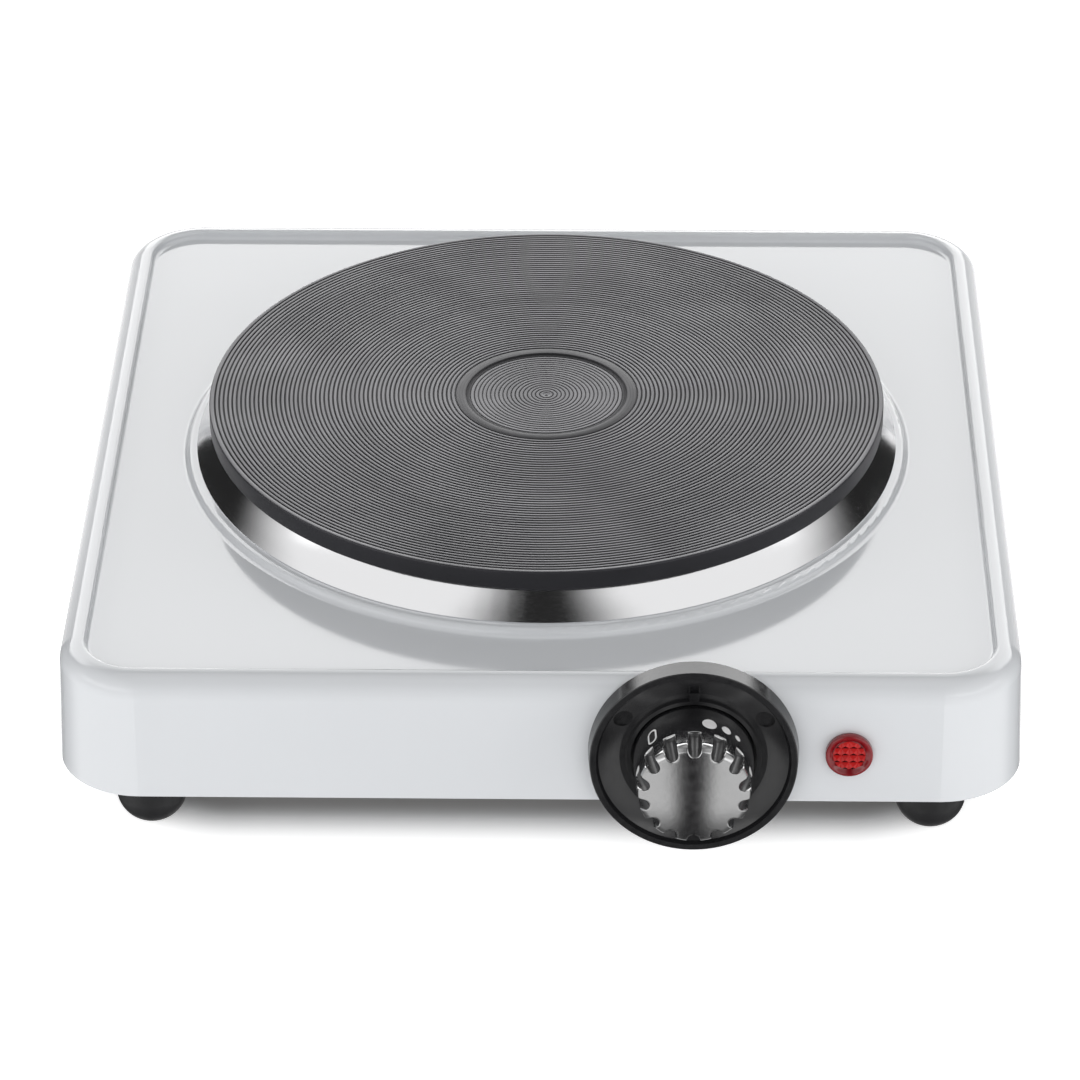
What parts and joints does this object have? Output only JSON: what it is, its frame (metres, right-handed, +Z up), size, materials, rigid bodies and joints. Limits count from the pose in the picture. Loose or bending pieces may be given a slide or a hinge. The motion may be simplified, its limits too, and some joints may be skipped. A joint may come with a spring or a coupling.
{
  "type": "hot plate burner",
  "caption": "Free-standing electric hot plate: square enamelled housing on rubber feet, round cast-iron plate in a trim ring, thermostat knob with pilot lamp at the front.",
  "frame": {"origin": "on the surface it stands on, under the middle of the whole burner, knob and cord bush included", "axes": "+Z up; -Y towards the front with the knob; +X to the right seen from the front"},
  "size_m": [0.251, 0.2756, 0.0685],
  "materials": {
    "enamel": "gloss vitreous enamel",
    "base_steel": "galvanised sheet",
    "rubber": "matt black rubber",
    "zinc_steel": "bright zinc plate",
    "iron": "turned and heat-blackened",
    "bright_steel": "polished",
    "coil_wire": "oxidised heating alloy",
    "cement": "pressed magnesia cement",
    "steatite": "steatite ceramic",
    "brass": "plain",
    "spindle_steel": "turned",
    "blade_bronze": "phosphor bronze strip",
    "bimetal": "rolled bimetal",
    "silver": "silver contact",
    "bezel_plastic": "satin moulded black",
    "knob_plastic": "gloss moulded black",
    "mark_paint": "white print",
    "lens_red": "clear red, prismatic",
    "bulb_glass": "clear neon tube",
    "resistor_paint": "coated",
    "bush_rubber": "black",
    "sleeve_live": "glass-fibre sleeving, brown",
    "sleeve_neutral": "glass-fibre sleeving, blue",
    "sleeve_earth": "glass-fibre sleeving, green and yellow"
  },
  "bodies": {
    "root": {"housing": "enamel", "base_plate": "base_steel", "corner_brackets": "base_steel", "foot_front_left": "rubber", "foot_front_right": "rubber", "foot_rear_left": "rubber", "foot_rear_right": "rubber", "foot_screws": "zinc_steel", "foot_nuts": "zinc_steel", "plate_stud": "zinc_steel", "stud_nuts": "zinc_steel", "stud_washer": "zinc_steel", "clamp_bridge": "zinc_steel", "plate_cover": "zinc_steel", "thermostat_bracket": "zinc_steel", "thermostat_screws": "zinc_steel", "earth_screw": "zinc_steel", "earth_nut": "zinc_steel", "block_screw": "zinc_steel", "clamp_screws": "zinc_steel", "lamp_clip": "zinc_steel", "hot_plate": "iron", "trim_ring": "bright_steel", "heating_coil_inner": "coil_wire", "heating_coil_outer": "coil_wire", "plate_terminal_pins": "coil_wire", "plate_insulation": "cement", "terminal_ceramic": "steatite", "thermostat_insulators": "steatite", "terminal_block": "steatite", "terminal_link": "brass", "thermostat_bush": "brass", "thermostat_terminals": "brass", "thermostat_rivet": "brass", "terminal_inserts": "brass", "earth_eyelet": "brass", "bezel": "bezel_plastic", "lamp_lens": "lens_red", "lamp_bulb": "bulb_glass", "lamp_resistor": "resistor_paint", "cord_bush": "bush_rubber", "live_lead": "sleeve_live", "heater_lead": "sleeve_live", "lamp_lead_live": "sleeve_live", "neutral_lead": "sleeve_neutral", "lamp_lead_neutral": "sleeve_neutral", "earth_lead": "sleeve_earth"},
    "knob": {"knob": "knob_plastic", "knob_marks": "mark_paint", "knob_clip": "zinc_steel", "thermostat_spindle": "spindle_steel", "spindle_tip": "steatite"},
    "pressure_arm": {"pressure_blade": "blade_bronze", "upper_contact": "silver"},
    "contact_arm": {"contact_blade": "blade_bronze", "lower_contact": "silver", "push_pin": "steatite", "bimetal_blade": "bimetal"}
  },
  "joints": [
    {"name": "knob_turn", "type": "hinge", "parent": "root", "child": "knob", "pos_m": [0.0397, -0.11558, 0.0349], "axis": [0, -0.9994, 0.0349], "range_deg": [0, 310]},
    {"name": "pressure_bend", "type": "hinge", "parent": "root", "child": "pressure_arm", "pos_m": [0.0227, -0.10439, 0.03451], "axis": [0, -0.0349, -0.9994], "range_deg": [0, 2]},
    {"name": "bimetal_bend", "type": "hinge", "parent": "root", "child": "contact_arm", "pos_m": [0.0227, -0.10069, 0.03438], "axis": [0, 0.0349, 0.9994], "range_deg": [0, 2], "stiffness_Nm_per_rad": 0.05}
  ],
  "couplings": [
    {"joint": "pressure_bend", "follows": "knob_turn", "ratio": 0.0051613}
  ]
}
